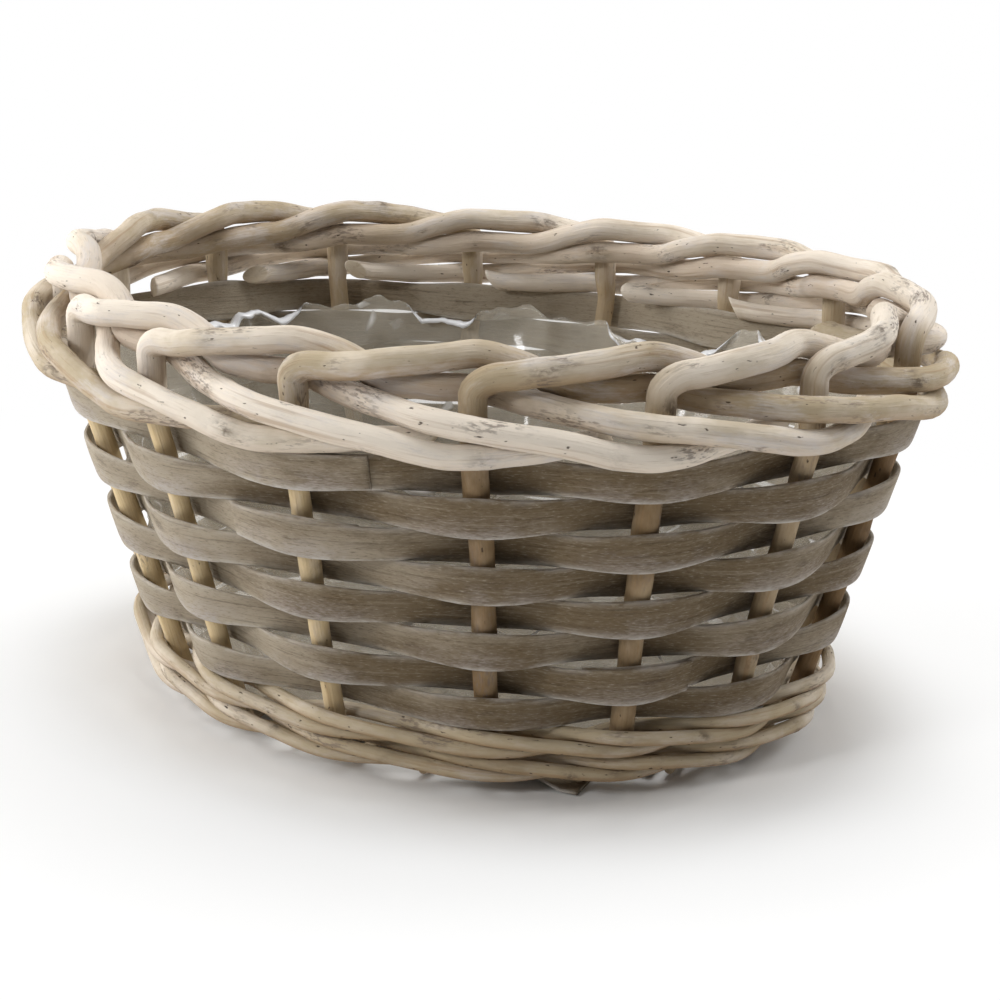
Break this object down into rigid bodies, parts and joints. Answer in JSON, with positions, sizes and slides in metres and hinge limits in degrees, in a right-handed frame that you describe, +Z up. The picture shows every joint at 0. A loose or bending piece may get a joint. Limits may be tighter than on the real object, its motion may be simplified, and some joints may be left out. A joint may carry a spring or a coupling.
{
  "type": "wicker flower basket",
  "caption": "Oval flared wicker flower basket: round stakes, flat splint wall, waled foot, woven base, thick woven border and clear film liner.",
  "frame": {"origin": "middle of the basket's underside, on the surface that it stands on", "axes": "+X along the oval's length, +Z up out of the open mouth"},
  "size_m": [0.3204, 0.2703, 0.1535],
  "materials": {
    "peeled_rod": "whitewashed, matt",
    "grey_splint": "grey stained, matt",
    "thin_rod": "matt",
    "base_wood": "matt",
    "clear_film": "clear, glossy"
  },
  "bodies": {
    "root": {"stake_01": "peeled_rod", "stake_02": "peeled_rod", "stake_03": "peeled_rod", "stake_04": "peeled_rod", "stake_05": "peeled_rod", "stake_06": "peeled_rod", "stake_07": "peeled_rod", "stake_08": "peeled_rod", "stake_09": "peeled_rod", "stake_10": "peeled_rod", "stake_11": "peeled_rod", "stake_12": "peeled_rod", "stake_13": "peeled_rod", "stake_14": "peeled_rod", "stake_15": "peeled_rod", "stake_16": "peeled_rod", "wall_splint_1": "grey_splint", "wall_splint_2": "grey_splint", "wall_splint_3": "grey_splint", "wall_splint_4": "grey_splint", "wall_splint_5": "grey_splint", "wall_splint_6": "grey_splint", "wall_splint_7": "grey_splint", "wall_splint_8": "grey_splint", "foot_wale_1_1": "thin_rod", "foot_wale_1_2": "thin_rod", "foot_wale_1_3": "thin_rod", "foot_wale_2_1": "thin_rod", "foot_wale_2_2": "thin_rod", "foot_wale_2_3": "thin_rod", "base_stick_1": "base_wood", "base_stick_2": "base_wood", "base_stick_3": "base_wood", "base_stick_4": "base_wood", "base_stick_5": "base_wood", "base_stick_6": "base_wood", "base_stick_7": "base_wood", "base_stick_8": "base_wood", "base_stick_9": "base_wood", "base_strip_1": "base_wood", "base_strip_2": "base_wood", "base_strip_3": "base_wood", "base_strip_4": "base_wood", "base_strip_5": "base_wood", "base_strip_6": "base_wood", "base_strip_7": "base_wood", "film_liner": "clear_film"}
  },
  "joints": []
}
